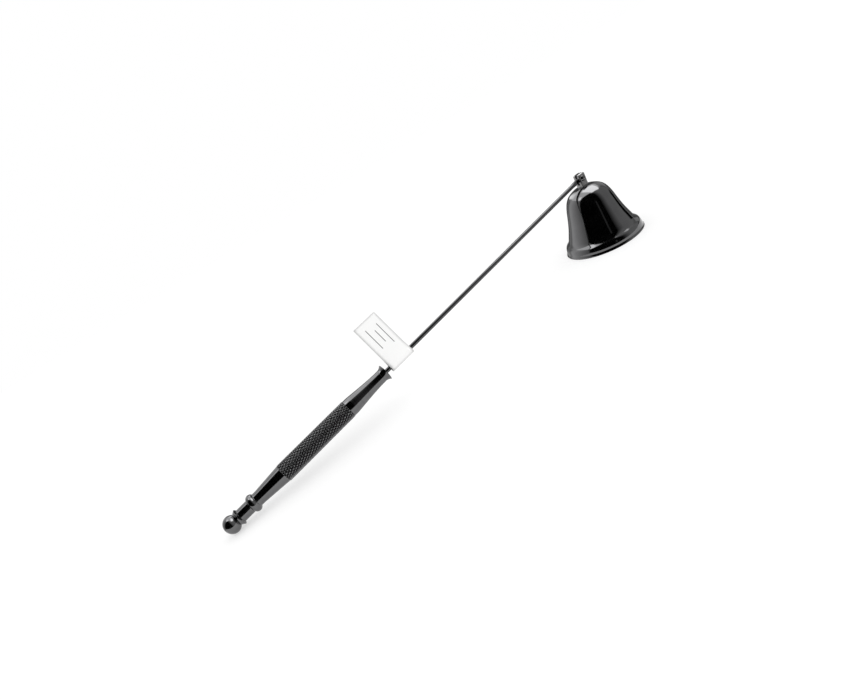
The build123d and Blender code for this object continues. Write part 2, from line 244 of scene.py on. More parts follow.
class StageSettings(bpy.types.PropertyGroup):
    """Camera, floor and lamps."""
    camera_place: bpy.props.FloatVectorProperty(name="Camera", description="Place of the camera", size=3,
                                                default=(-0.17639, -0.19852, 0.09225), subtype="XYZ",
                                                unit="LENGTH", precision=5)
    heading: angle("Heading", "Turn of the view from +Y towards +X", 17.773)
    dip: angle("Dip", "How far the camera looks down", 21.304)
    roll: angle("Roll", "Turn of the picture, clockwise", 31.152)
    focal_pixels: bpy.props.FloatProperty(name="Focal length", description="In pixels of the photograph",
                                          default=500.0)
    picture_width: bpy.props.IntProperty(name="Picture width", description="In pixels", default=860)
    floor: length("Floor", "Side of the floor", 12.0)
    softbox_height: length("Softbox height", "Height of the softboxes over the floor", 0.47)
    softbox_step: length("Softbox step", "How far each softbox hangs under the last", 0.002)
    table_front: coordinate("Table front", "Front end of the floor that metal reflects", -0.085)
    table_back: coordinate("Table back", "Back end of the floor that metal reflects", 0.003)
    table_left: coordinate("Table left", "Left end of the floor that metal reflects", -0.4)
    table_right: coordinate("Table right", "Right end of the floor that metal reflects", 0.07)


class Settings(bpy.types.PropertyGroup):
    """All the settings of the snuffer."""
    bell: bpy.props.PointerProperty(type=BellSizes)
    hinge: bpy.props.PointerProperty(type=HingeSizes)
    stem: bpy.props.PointerProperty(type=StemSizes)
    handle: bpy.props.PointerProperty(type=HandleSizes)
    knurl: bpy.props.PointerProperty(type=KnurlSizes)
    tag: bpy.props.PointerProperty(type=TagSizes)
    finish: bpy.props.PointerProperty(type=Finish)
    stage: bpy.props.PointerProperty(type=StageSettings)


def settings():
    """The settings of the open scene."""
    return bpy.context.scene.snuffer


# Places along the handle, worked out from the sizes

class Stations:
    """Places along the handle's axis, from the outer end of the ball towards the hinge pin."""

    def __init__(self):
        handle = settings().handle
        self.ball_neck_angle = acos(handle.ball_neck / handle.ball)
        self.ball_neck = handle.ball_half * (1 + sin(self.ball_neck_angle))
        self.flange = self.ball_neck + handle.flange_rise
        self.tail = self.flange + handle.flange_edge + handle.flange_fall
        self.bead = self.tail + handle.neck_length
        self.bead_end = self.bead + handle.bead_length
        self.cone = self.bead_end + handle.tail_collar
        self.grip = self.cone + handle.cone_length
        self.nose = self.grip + handle.grip_length
        self.nose_cone = self.nose + handle.nose_edge
        self.collar = self.nose_cone + handle.nose_cone
        self.front = self.collar + handle.collar_length
        self.pivot = self.front + settings().stem.free


def pivot_height():
    """Height of the hinge pin over the surface that the bell stands on."""
    return settings().bell.height + settings().hinge.pivot


def resting_slant():
    """Angle below level at which the end ball just touches the surface that the bell stands on."""
    handle = settings().handle
    reach = Stations().pivot - handle.ball_half
    slant = 0.0
    for _ in range(SLANT_TRIES):
        drop = sqrt((handle.ball / 2 * cos(slant)) ** 2 + (handle.ball_half * sin(slant)) ** 2)
        slant = asin((pivot_height() - drop) / reach)
    return slant


def handle_place():
    """Where the handle's own frame lies: its axis is local Z, and local -X is its upper side."""
    return (Matrix.Translation((0, 0, pivot_height()))
            @ Matrix.Rotation(pi / 2 - resting_slant(), 4, "Y")
            @ Matrix.Translation((0, 0, -Stations().pivot)))


def pin_place():
    """Where the rivet lies: its head is at local +Z, which points along -Y."""
    return Matrix.Translation((0, 0, pivot_height())) @ Matrix.Rotation(pi / 2, 4, "X")


# Outlines, as lists of (radius, height) points

def arc(start, middle, end, steps=ARC_STEPS):
    """Points on the round arc from start through middle to end."""
    (ax, ay), (bx, by), (cx, cy) = start, middle, end
    twice_area = 2 * (ax * (by - cy) + bx * (cy - ay) + cx * (ay - by))
    a, b, c = ax * ax + ay * ay, bx * bx + by * by, cx * cx + cy * cy
    x = (a * (by - cy) + b * (cy - ay) + c * (ay - by)) / twice_area
    y = (a * (cx - bx) + b * (ax - cx) + c * (bx - ax)) / twice_area
    radius = sqrt((ax - x) ** 2 + (ay - y) ** 2)
    first = atan2(ay - y, ax - x)
    sweep = (atan2(cy - y, cx - x) - first) % FULL_TURN
    if (atan2(by - y, bx - x) - first) % FULL_TURN > sweep:
        sweep -= FULL_TURN
    turns = [first + sweep * i / steps for i in range(steps + 1)]
    return [(x + radius * cos(t), y + radius * sin(t)) for t in turns]


def oval_arc(centre, radius, half_height, first, last, steps):
    """Points on an oval about (0, centre), between two angles."""
    turns = [first + (last - first) * i / steps for i in range(steps + 1)]
    return [(radius * cos(t), centre + half_height * sin(t)) for t in turns]


def flow(knots, first_lean, last_lean, steps=FLOW_STEPS):
    """Points on the smooth curve through the knots, which starts and ends along the stated leans."""
    knots = np.array(knots, float)
    spans = np.linalg.norm(np.diff(knots, axis=0), axis=1)
    rows = np.eye(len(knots))
    sides = np.zeros((len(knots), 2))
    sides[0] = np.array(first_lean) / np.linalg.norm(first_lean)
    sides[-1] = np.array(last_lean) / np.linalg.norm(last_lean)
    for i in range(1, len(knots) - 1):
        before, after = spans[i - 1], spans[i]
        rows[i, i - 1:i + 2] = (after, 2 * (before + after), before)
        sides[i] = 3 * (after * (knots[i] - knots[i - 1]) / before
                        + before * (knots[i + 1] - knots[i]) / after)
    leans = np.linalg.solve(rows, sides)
    points = [tuple(knots[0])]
    for i, span in enumerate(spans):
        for t in np.linspace(0, 1, steps + 1)[1:]:
            point = (knots[i] * (2 * t ** 3 - 3 * t ** 2 + 1) + knots[i + 1] * (3 * t ** 2 - 2 * t ** 3)
                     + span * (leans[i] * (t ** 3 - 2 * t ** 2 + t) + leans[i + 1] * (t ** 3 - t ** 2)))
            points.append(tuple(point))
    return points


def dome(radius, base, crest):
    """Arc of a low round dome, from its rim to its crest on the axis."""
    rise = crest - base
    curve = (radius ** 2 + rise ** 2) / (2 * rise)
    half_turn = asin(radius / abs(curve)) / 2
    middle = (abs(curve) * sin(half_turn), crest - curve * (1 - cos(half_turn)))
    return arc((radius, base), middle, (0, crest))


# Meshes and objects

def turn(profile, closed=False, steps=HANDLE_STEPS):
    """Surface turned about Z from a profile of (radius, height) points."""
    bm = bmesh.new()
    verts = [bm.verts.new((radius, 0, height)) for radius, height in profile]
    ends = verts[1:] + verts[:1] if closed else verts[1:]
    for pair in zip(verts, ends):
        bm.edges.new(pair)
    bmesh.ops.spin(bm, geom=bm.verts[:] + bm.edges[:], cent=(0, 0, 0), axis=(0, 0, 1), angle=FULL_TURN,
                   steps=steps, use_merge=True)
    bmesh.ops.remove_doubles(bm, verts=bm.verts, dist=SAME_POINT)
    bmesh.ops.recalc_face_normals(bm, faces=bm.faces)
    return bm


def block(width, depth, height, floor):
    """Upright block, centred on Z and standing on a floor height."""
    bm = bmesh.new()
    bmesh.ops.create_cube(bm, size=1.0)
    bmesh.ops.scale(bm, verts=bm.verts, vec=(width, depth, height))
    bmesh.ops.translate(bm, verts=bm.verts, vec=(0, 0, floor + height / 2))
    return bm


def everything(bm):
    """All the points, edges and faces of a mesh in the making."""
    return bm.verts[:] + bm.edges[:] + bm.faces[:]


def only(kind, made):
    """What is of one kind among the things that an operation made."""
    return [item for item in made if isinstance(item, kind)]


def soften(bm, edges, width, steps):
    """Rounds some edges of a mesh."""
    bmesh.ops.bevel(bm, geom=edges, offset=width, offset_type="OFFSET", segments=steps, profile=0.5,
                    affect="EDGES", material=-1)


def as_object(bm, name):
    """New object from a mesh in the making."""
    mesh = bpy.data.meshes.new(name)
    bm.to_mesh(mesh)
    bm.free()
    made = bpy.data.objects.new(name, mesh)
    bpy.context.scene.collection.objects.link(made)
    return made


def combine(bm, other, operation):
    """Cuts another solid from a solid, keeps what they share, or joins them."""
    body = as_object(bm, "working_body")
    tool = as_object(other, "working_tool")
    cut = body.modifiers.new("combine", "BOOLEAN")
    cut.operation = operation
    cut.solver = "EXACT"
    cut.object = tool
    depsgraph = bpy.context.evaluated_depsgraph_get()
    result = bmesh.new()
    result.from_object(body, depsgraph)
    for used in (body, tool):
        mesh = used.data
        bpy.data.objects.remove(used)
        bpy.data.meshes.remove(mesh)
    bmesh.ops.remove_doubles(result, verts=result.verts, dist=SAME_POINT)
    if not result.faces:
        raise RuntimeError("nothing is left of a solid after " + operation)
    return result


def drilled(bm, radius, reach, place):
    """Solid with a hole along local Z of a place, which reaches as far to both sides."""
    drill = turn([(0, -reach), (radius, -reach), (radius, reach), (0, reach)], steps=SMALL_STEPS)
    bmesh.ops.transform(drill, matrix=place, verts=drill.verts)
    return combine(bm, drill, "DIFFERENCE")


# Widths of the soft edges that catch the light, and the angles from which an edge is sharp
TURNED_EDGE = 0.00005
FASTENER_EDGE = 0.00006
BLOCK_EDGE = 0.00007
WIRE_EDGE = 0.00003
SHARP_ANGLE = 32.0
TURNED_SHARP_ANGLE = 24.0
KNURL_SHARP_ANGLE = 20.0
WIRE_SHARP_ANGLE = 40.0
CORNER_ANGLE = 25.0


def finish_piece(bm, name, node, body, material, place=None, edge=TURNED_EDGE, crease=SHARP_ANGLE):
    """Puts a mesh in its place, with soft edges, a material, its body and its CAD node."""
    if place is not None:
        bmesh.ops.transform(bm, matrix=place, verts=bm.verts)
    piece = as_object(bm, name)
    piece.data.shade_smooth()
    piece.data.set_sharp_from_angle(angle=radians(crease))
    if edge:
        round_off = piece.modifiers.new("soft edges", "BEVEL")
        round_off.width = edge
        round_off.segments = SOFT_EDGE_STEPS
        round_off.limit_method = "ANGLE"
        round_off.angle_limit = radians(crease)
        round_off.harden_normals = True
    piece.data.materials.append(material)
    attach(piece, body)
    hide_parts(node)
    return piece


# Shared shader effects, as node groups

def new_group(name, inputs, outputs):
    """Empty node group with named sockets, and its input and output nodes."""
    group = bpy.data.node_groups.new(name, "ShaderNodeTree")
    for socket, kind, default in inputs:
        made = group.interface.new_socket(name=socket, in_out="INPUT", socket_type=kind)
        made.default_value = default
    for socket, kind in outputs:
        group.interface.new_socket(name=socket, in_out="OUTPUT", socket_type=kind)
    return group, group.nodes.new("NodeGroupInput"), group.nodes.new("NodeGroupOutput")


def fill(tree, node, values):
    """Links or sets some inputs of a node, by their names."""
    for name, value in values.items():
        if isinstance(value, bpy.types.NodeSocket):
            tree.links.new(value, node.inputs[name])
        else:
            node.inputs[name].default_value = value


def add_node(tree, kind, values, **choices):
    """New node with some choices made and some inputs linked or set."""
    node = tree.nodes.new(kind)
    for name, choice in choices.items():
        setattr(node, name, choice)
    fill(tree, node, values)
    return node


def noise(tree, coordinates, scale, detail, roughness=0.5):
    """Noise over some coordinates."""
    values = {"Vector": coordinates, "Scale": scale, "Detail": detail, "Roughness": roughness}
    return add_node(tree, "ShaderNodeTexNoise", values).outputs["Fac"]


def math_node(tree, operation, *values):
    """Result of a Math node on sockets or numbers."""
    node = add_node(tree, "ShaderNodeMath", {}, operation=operation)
    for socket, value in zip(node.inputs, values):
        if isinstance(value, bpy.types.NodeSocket):
            tree.links.new(value, socket)
        else:
            socket.default_value = value
    return node.outputs["Value"]


def spread(tree, value, low, high, low_out, high_out):
    """Maps a value from one range to another, without going past its ends."""
    limits = {"Value": value, "From Min": low, "From Max": high, "To Min": low_out, "To Max": high_out}
    return add_node(tree, "ShaderNodeMapRange", limits).outputs["Result"]


def mixed(tree, factor, first, second):
    """Mix of two colours by a factor."""
    values = {"Factor": factor, "A": first, "B": second}
    return add_node(tree, "ShaderNodeMix", values, data_type="RGBA").outputs["Result"]


def separated(tree, vector):
    """The X, Y and Z of a vector, as sockets by their names."""
    return add_node(tree, "ShaderNodeSeparateXYZ", {"Vector": vector}).outputs


def bumped(tree, height, strength, distance):
    """Normal of a surface that follows a height."""
    values = {"Height": height, "Strength": strength, "Distance": distance}
    return add_node(tree, "ShaderNodeBump", values).outputs["Normal"]


# Scale, detail and roughness of each noise, and what its values are spread from and to
CLOUD_NOISE = (160.0, 3.0)
CLOUD_SPREAD = (0.3, 0.7, 0.93, 1.06)
RUB_NOISE = (900.0, 4.0)
RUB_SPREAD = (0.4, 0.6, 0.2, 1.0)
SMEAR_NOISE = (220.0, 5.0, 0.6)
SMEAR_SPREAD = (0.42, 0.7, 0.0, 1.0)
# How pointed an edge is where rubbing starts and where it is full
RUB_START = 0.52
RUB_FULL = 0.62
RIPPLE_DETAIL = 2.0
RIPPLE_HEIGHT = 0.0002


def plating_tone_group():
    """Colour of plating: a little cloudy, and lighter where its edges are rubbed."""
    group, inside, outside = new_group(
        "plating tone",
        [("Coordinates", "NodeSocketVector", (0, 0, 0)),
         ("Plating", "NodeSocketColor", (0.1, 0.1, 0.1, 1)),
         ("Rubbed", "NodeSocketColor", (0.2, 0.2, 0.2, 1)), ("Rub", "NodeSocketFloat", 0.5)],
        [("Color", "NodeSocketColor")])
    given = inside.outputs
    clouds = noise(group, given["Coordinates"], *CLOUD_NOISE)
    cloudy = {"Color": given["Plating"], "Value": spread(group, clouds, *CLOUD_SPREAD)}
    deep = add_node(group, "ShaderNodeHueSaturation", cloudy)
    pointiness = add_node(group, "ShaderNodeNewGeometry", {}).outputs["Pointiness"]
    edges = spread(group, pointiness, RUB_START, RUB_FULL, 0.0, given["Rub"])
    patchy = spread(group, noise(group, given["Coordinates"], *RUB_NOISE), *RUB_SPREAD)
    rubbed = math_node(group, "MULTIPLY", edges, patchy)
    fill(group, outside, {"Color": mixed(group, rubbed, deep.outputs["Color"], given["Rubbed"])})
    return group


def polish_group():
    """Roughness and normal of polished plating, with faint smears and a slight ripple."""
    group, inside, outside = new_group(
        "polish",
        [("Coordinates", "NodeSocketVector", (0, 0, 0)), ("Roughness", "NodeSocketFloat", 0.1),
         ("Smear", "NodeSocketFloat", 0.04), ("Ripple", "NodeSocketFloat", 0.05),
         ("Ripple Scale", "NodeSocketFloat", 400.0)],
        [("Roughness", "NodeSocketFloat"), ("Normal", "NodeSocketVector")])
    given = inside.outputs
    smears = spread(group, noise(group, given["Coordinates"], *SMEAR_NOISE), *SMEAR_SPREAD)
    rough = math_node(group, "MULTIPLY_ADD", smears, given["Smear"], given["Roughness"])
    waves = noise(group, given["Coordinates"], given["Ripple Scale"], RIPPLE_DETAIL)
    fill(group, outside, {"Roughness": rough,
                          "Normal": bumped(group, waves, given["Ripple"], RIPPLE_HEIGHT)})
    return group


def group_node(tree, name, build, values):
    """Outputs of a node group, which is built once, with its inputs linked or set."""
    group = bpy.data.node_groups.get(name) or build()
    node = tree.nodes.new("ShaderNodeGroup")
    node.node_tree = group
    fill(tree, node, values)
    return node.outputs


def new_material(name):
    """Material with a Principled shader alone, its node tree and the shader."""
    material = bpy.data.materials.new(name)
    material.use_nodes = True
    tree = material.node_tree
    return material, tree, tree.nodes["Principled BSDF"]


def own_coordinates(tree, place=None, stretch=1):
    """Object coordinates, turned into a piece's own frame and stretched along its Z."""
    values = {"Vector": add_node(tree, "ShaderNodeTexCoord", {}).outputs["Object"]}
    if place is not None:
        back = place.inverted()
        values.update({"Location": back.to_translation(), "Rotation": back.to_euler()})
    turned = add_node(tree, "ShaderNodeMapping", values).outputs["Vector"]
    if stretch == 1:
        return turned
    stretched = {"Vector": turned, "Scale": (1, 1, stretch)}
    return add_node(tree, "ShaderNodeMapping", stretched).outputs["Vector"]


# Plated finishes. Each has its settings for gloss and colour, then its smears, its ripple and the
# ripple's scale, how much its edges are rubbed, whether it follows the handle, and its stretch along Z.
PLATINGS = {
    "bell plating": ("gloss", "plating", 0.05, 0.06, 220.0, 0.5, False, 1),
    "handle plating": ("gloss", "plating", 0.05, 0.05, 420.0, 0.5, True, 6),
    "hinge plating": ("gloss", "plating", 0.06, 0.06, 500.0, 0.6, False, 1),
    "block plating": ("satin_gloss", "satin", 0.06, 0.08, 2600.0, 0.6, False, 0.2),
    "wire plating": ("wire_gloss", "wire", 0.05, 0.03, 900.0, 0.3, True, 0.05),
    "knurl plating": ("knurl_gloss", "knurled", 0.1, 0.05, 1500.0, 0.7, True, 1),
}
# Colour of the painted shade down in the knurl's grooves, and the share of their depth, next to the
# crests, that it leaves unshaded
GROOVE_SHADE_COLOUR = (0.012, 0.012, 0.012, 1)
UNSHADED_SHARE = 0.2


def plated_material(name):
    """Material of one of the plated finishes, which is made once."""
    existing = bpy.data.materials.get(name)
    if existing:
        return existing
    gloss, colour, smear, ripple, ripple_scale, rub, on_handle, stretch = PLATINGS[name]
    finish = settings().finish
    material, tree, shader = new_material(name)
    coordinates = own_coordinates(tree, handle_place() if on_handle else None, stretch)
    tone = group_node(tree, "plating tone", plating_tone_group, {
        "Coordinates": coordinates, "Plating": (*getattr(finish, colour), 1),
        "Rubbed": (*finish.worn, 1), "Rub": rub})
    polish = group_node(tree, "polish", polish_group, {
        "Coordinates": coordinates, "Roughness": getattr(finish, gloss), "Smear": smear,
        "Ripple": ripple, "Ripple Scale": ripple_scale})
    fill(tree, shader, {"Base Color": tone["Color"], "Roughness": polish["Roughness"],
                        "Normal": polish["Normal"], "Metallic": 1.0})
    return material


def knurl_material():
    """Plating over the knurl, with painted shade darkening it down in its grooves."""
    material = plated_material("knurl plating")
    tree = material.node_tree
    spot = separated(tree, own_coordinates(tree, handle_place()))
    square = math_node(tree, "MULTIPLY", spot["X"], spot["X"])
    radius = math_node(tree, "SQRT", math_node(tree, "MULTIPLY_ADD", spot["Y"], spot["Y"], square))
    crest, depth = settings().handle.grip / 2, settings().knurl.depth
    # Painted shade: the colour darkens towards the bottom of each groove
    grooves = spread(tree, radius, crest - depth, crest - UNSHADED_SHARE * depth, 1.0, 0.0)
    shader = tree.nodes["Principled BSDF"]
    plating = shader.inputs["Base Color"].links[0].from_socket
    fill(tree, shader, {"Base Color": mixed(tree, grooves, plating, GROOVE_SHADE_COLOUR)})
    return material


# The bell

SHOULDER_HEIGHT_SHARES = (0.32, 0.54, 0.71)
SHOULDER_DEPTH_SHARES = (0.18, 0.50, 0.74)
WALL_RISE_SHARES = (0.23, 0.49, 0.73, 0.88, 0.96)
WALL_RADIUS_SHARES = (0.876, 0.769, 0.668, 0.540, 0.369)
COVE_HEIGHT_SHARE = 0.42
COVE_FLARE_SHARE = 0.62


def bell_side(foot, waist, crown, top):
    """Points up one side of the bell, over the band's shoulder and the wall to the crown."""
    bell = settings().bell
    band_top = bell.lip_height + bell.band_height
    waist_height = band_top + bell.shoulder_height
    shoulder = [(foot, band_top)]
    for rise, depth in zip(SHOULDER_HEIGHT_SHARES, SHOULDER_DEPTH_SHARES):
        shoulder.append((foot - depth * (foot - waist), band_top + rise * bell.shoulder_height))
    shoulder.append((waist, waist_height))
    wall = [(waist, waist_height)]
    for rise, width in zip(WALL_RISE_SHARES, WALL_RADIUS_SHARES):
        wall.append((width * waist, waist_height + rise * (top - waist_height)))
    wall.append((crown, top))
    lean = (wall[1][0] - wall[0][0], wall[1][1] - wall[0][1])
    band_lean = (-bell.band_taper - 4 * bell.band_bulge, bell.band_height)
    return flow(shoulder, band_lean, lean) + flow(wall, lean, (-1, 0))[1:]


def bell_profile():
    """Closed outline of the bell's wall, round the outside and back down the inside."""
    bell, hinge = settings().bell, settings().hinge
    mouth = bell.mouth / 2
    foot = mouth - bell.lip_edge
    turn_in = bell.lip_edge * sin(pi / 4)
    band_foot = mouth - bell.lip_flare
    band_top_radius = band_foot - bell.band_taper
    band_top = bell.lip_height + bell.band_height
    waist = band_top_radius - bell.shoulder_depth
    crown_under = bell.height - bell.wall
    hole = hinge.stud / 2 + hinge.fit
    edge = arc((foot, 0), (foot + turn_in, bell.lip_edge - turn_in), (mouth, bell.lip_edge))
    middle = (mouth - COVE_FLARE_SHARE * bell.lip_flare,
              bell.lip_edge + COVE_HEIGHT_SHARE * (bell.lip_height - bell.lip_edge))
    cove = arc((mouth, bell.lip_edge), middle, (band_foot, bell.lip_height))
    band_middle = ((band_foot + band_top_radius) / 2 + bell.band_bulge, (bell.lip_height + band_top) / 2)
    band = arc((band_foot, bell.lip_height), band_middle, (band_top_radius, band_top))
    outside = band[1:] + bell_side(band_top_radius, waist, bell.seat / 2, bell.height)[1:]
    inner_foot = band_top_radius - bell.wall
    inside = bell_side(inner_foot, waist - bell.wall, hinge.washer / 2 + bell.wall / 2, crown_under)
    bore = mouth - bell.rim
    return (edge + cove[1:] + outside + [(hole, bell.height), (hole, crown_under)] + inside[::-1]
            + [(bore, bell.bore_length), (bore, 0)])


class SNUFFER_OT_bell_shell(bpy.types.Operator):
    """Adds the spun bell with its flared lip and band"""
    bl_idname = "snuffer.bell_shell"
    bl_label = "Bell Shell"

    def execute(self, context):
        bm = turn(bell_profile(), closed=True, steps=BELL_STEPS)
        finish_piece(bm, "spun_bell", "bell_shell", "bell",
                     plated_material("bell plating"))
        return {"FINISHED"}


# The hinge

class SNUFFER_OT_hinge_fork(bpy.types.Operator):
    """Adds the slotted block on the crown, with its threaded stud"""
    bl_idname = "snuffer.hinge_fork"
    bl_label = "Hinge Fork"

    def execute(self, context):
        bell, hinge = settings().bell, settings().hinge
        bm = block(hinge.fork_width, hinge.fork_width, hinge.fork_height, bell.height)
        top = bell.height + hinge.fork_height
        rim = [e for e in bm.edges if all(v.co.z > top - SAME_POINT for v in e.verts)]
        soften(bm, rim, hinge.top_round, TOP_ROUND_STEPS)
        rising = [e for e in bm.edges if e.calc_face_angle() > radians(CORNER_ANGLE)
                  and abs(e.verts[0].co.z - e.verts[1].co.z) > SAME_POINT]
        soften(bm, rising, hinge.edge_round, EDGE_ROUND_STEPS)
        floor = bell.height + hinge.slot_floor
        bm = combine(bm, block(2 * hinge.fork_width, hinge.slot, hinge.fork_height, floor), "DIFFERENCE")
        bm = drilled(bm, hinge.pin / 2 + hinge.fit, hinge.fork_width, pin_place())
        bm = combine(bm, threaded_stud(), "UNION")
        finish_piece(bm, "hinge_block", "hinge_fork", "bell",
                     plated_material("block plating"), edge=BLOCK_EDGE)
        return {"FINISHED"}


def stud_end_height():
    """Height of the stud's lower end inside the bell."""
    bell, hinge = settings().bell, settings().hinge
    return bell.height - bell.wall - hinge.washer_thickness - hinge.nut_thickness - hinge.stud_proud


def threaded_stud():
    """Stud under the block, with rings for its thread and a chamfered end."""
    bell, hinge = settings().bell, settings().hinge
    crest = hinge.stud / 2
    root = crest - hinge.thread_depth
    end = stud_end_height()
    profile = [(0, end), (root, end)]
    height = end
    while height + hinge.thread_pitch < bell.height - bell.wall:
        profile.append((crest, height + hinge.thread_pitch / 2))
        profile.append((root, height + hinge.thread_pitch))
        height += hinge.thread_pitch
    top = bell.height + hinge.slot_floor / 2
    return turn(profile + [(root, top), (0, top)], steps=SMALL_STEPS)


def finish_fastener(bm, name, node, place=None):
    """Finishes one of the small pieces of the hinge."""
    finish_piece(bm, name, node, "bell", plated_material("hinge plating"), place,
                 edge=FASTENER_EDGE)


class SNUFFER_OT_stud_fasteners(bpy.types.Operator):
    """Adds the washer and the nut inside the bell"""
    bl_idname = "snuffer.stud_fasteners"
    bl_label = "Washer and Nut"

    def execute(self, context):
        bell, hinge = settings().bell, settings().hinge
        washer_top = bell.height - bell.wall
        nut_top = washer_top - hinge.washer_thickness
        nut_bottom = nut_top - hinge.nut_thickness
        hole = hinge.stud / 2 + hinge.fit
        washer = turn([(hole, nut_top), (hinge.washer / 2, nut_top), (hinge.washer / 2, washer_top),
                       (hole, washer_top)], closed=True, steps=NUT_STEPS)
        finish_fastener(washer, "flat_washer", "stud_washer")
        flat = hinge.nut / 2
        corner = hinge.nut / sqrt(3)
        chamfer = corner - flat
        prism = bmesh.new()
        bmesh.ops.create_cone(prism, cap_ends=True, segments=6, radius1=corner, radius2=corner,
                              depth=hinge.nut_thickness)
        bmesh.ops.translate(prism, verts=prism.verts, vec=(0, 0, (nut_top + nut_bottom) / 2))
        envelope = turn([(hole, nut_bottom), (flat, nut_bottom), (corner, nut_bottom + chamfer / 2),
                         (corner, nut_top), (hole, nut_top)], closed=True, steps=NUT_STEPS)
        finish_fastener(combine(prism, envelope, "INTERSECT"), "hex_nut", "stud_nut")
        return {"FINISHED"}


class SNUFFER_OT_hinge_pin(bpy.types.Operator):
    """Adds the rivet with its domed head and peened tail"""
    bl_idname = "snuffer.hinge_pin"
    bl_label = "Hinge Pin"

    def execute(self, context):
        hinge = settings().hinge
        ear = hinge.fork_width / 2
        shank, head, tail = hinge.pin / 2, hinge.pin_head / 2, hinge.pin_tail / 2
        profile = (dome(tail, -ear, -ear - hinge.pin_tail_height)[::-1] + [(shank, -ear), (shank, ear)]
                   + dome(head, ear, ear + hinge.pin_head_height))
        finish_fastener(turn(profile, steps=RIVET_STEPS), "domed_rivet", "hinge_pin", pin_place())
        return {"FINISHED"}


# The stem

# Squareness of the round wire and of its flattened end
ROUND = 2.0
BOXY = 5.0
# Rings along the taper and along the eye, as shares of their lengths
TAPER_SHARES = (0.25, 0.5, 0.75, 1.0)
EYE_SHARES = (0.0, 0.25, 0.5, 0.75, 0.9, 0.97)


def squared_ring(bm, station, height, thickness, squareness):
    """Ring of edges across the wire, round at a squareness of 2 and boxier above."""
    power = 2 / squareness
    ring = []
    for i in range(SMALL_STEPS):
        c, s = cos(FULL_TURN * i / SMALL_STEPS), sin(FULL_TURN * i / SMALL_STEPS)
        x = height / 2 * abs(c) ** power * (1 if c > 0 else -1)
        y = thickness / 2 * abs(s) ** power * (1 if s > 0 else -1)
        ring.append(bm.verts.new((x, y, station)))
    return [bm.edges.new(pair) for pair in zip(ring, ring[1:] + ring[:1])]


class SNUFFER_OT_stem(bpy.types.Operator):
    """Adds the wire with its flattened end and eye"""
    bl_idname = "snuffer.stem"
    bl_label = "Stem"

    def execute(self, context):
        stem, hinge, handle = settings().stem, settings().hinge, settings().handle
        stations = Stations()
        tongue = stations.pivot - stem.tongue
        taper = tongue - stem.taper
        start = stations.tail - handle.ball_thread + stem.end_gap
        eye = stem.eye / 2
        rings = [(start, stem.wire, stem.wire, ROUND), (taper, stem.wire, stem.wire, ROUND)]
        for part in TAPER_SHARES:
            ease = part * part * (3 - 2 * part)
            rings.append((taper + part * stem.taper, stem.wire + ease * (stem.tongue_height - stem.wire),
                          stem.wire + ease * (stem.tongue_thickness - stem.wire),
                          ROUND + (BOXY - ROUND) * ease))
        meet = sqrt(eye ** 2 - (stem.tongue_height / 2) ** 2)
        for part in EYE_SHARES:
            along = -meet + part * (eye + meet)
            rings.append((stations.pivot + along, 2 * sqrt(eye ** 2 - along ** 2), stem.tongue_thickness,
                          BOXY))
        bm = bmesh.new()
        loops = [squared_ring(bm, *ring) for ring in rings]
        for pair in zip(loops, loops[1:]):
            bmesh.ops.bridge_loops(bm, edges=pair[0] + pair[1])
        bmesh.ops.contextual_create(bm, geom=loops[0])
        bmesh.ops.contextual_create(bm, geom=loops[-1])
        bmesh.ops.recalc_face_normals(bm, faces=bm.faces)
        across = Matrix.Translation((0, 0, stations.pivot)) @ Matrix.Rotation(pi / 2, 4, "X")
        bm = drilled(bm, hinge.pin / 2 + stem.running_fit, stem.eye, across)
        finish_piece(bm, "wire_stem", "stem", "handle", plated_material("wire plating"),
                     handle_place(), edge=WIRE_EDGE, crease=WIRE_SHARP_ANGLE)
        return {"FINISHED"}


# The handle's turned pieces

def bore_radius():
    """Radius of the hole through the handle's pieces."""
    return settings().stem.wire / 2 + settings().handle.bore_fit


def end_ball_profile():
    """Outline of the end ball with its flange and blind hole."""
    handle, at = settings().handle, Stations()
    hole, flange = bore_radius(), handle.flange / 2
    bottom = at.tail - handle.ball_thread
    ball = oval_arc(handle.ball_half, handle.ball / 2, handle.ball_half, -pi / 2, at.ball_neck_angle,
                    BALL_STEPS)
    return ball + [(flange, at.flange), (flange, at.flange + handle.flange_edge),
                   (handle.flange_face / 2, at.tail), (hole, at.tail), (hole, bottom), (0, bottom)]


def tail_ferrule_profile():
    """Outline of the neck, bead and cone behind the grip."""
    handle, at = settings().handle, Stations()
    hole, neck, foot, spigot = bore_radius(), handle.neck / 2, handle.cone_foot / 2, handle.spigot / 2
    crest = (handle.bead / 2, at.bead + handle.bead_length / 2)
    end = at.grip + handle.spigot_length
    return ([(hole, at.tail), (neck, at.tail)]
            + arc((neck, at.bead), crest, (foot, at.bead_end), BEAD_STEPS)
            + [(foot, at.cone), (handle.bar / 2, at.grip), (spigot, at.grip), (spigot, end),
               (hole, end)])


NOSE_LENGTH_SHARES = (0.2, 0.4, 0.6, 0.8)
NOSE_FALL_SHARES = (0.27, 0.54, 0.77, 0.93)
FLARE_LENGTH_SHARE = 0.6
FLARE_RISE_SHARE = 0.28


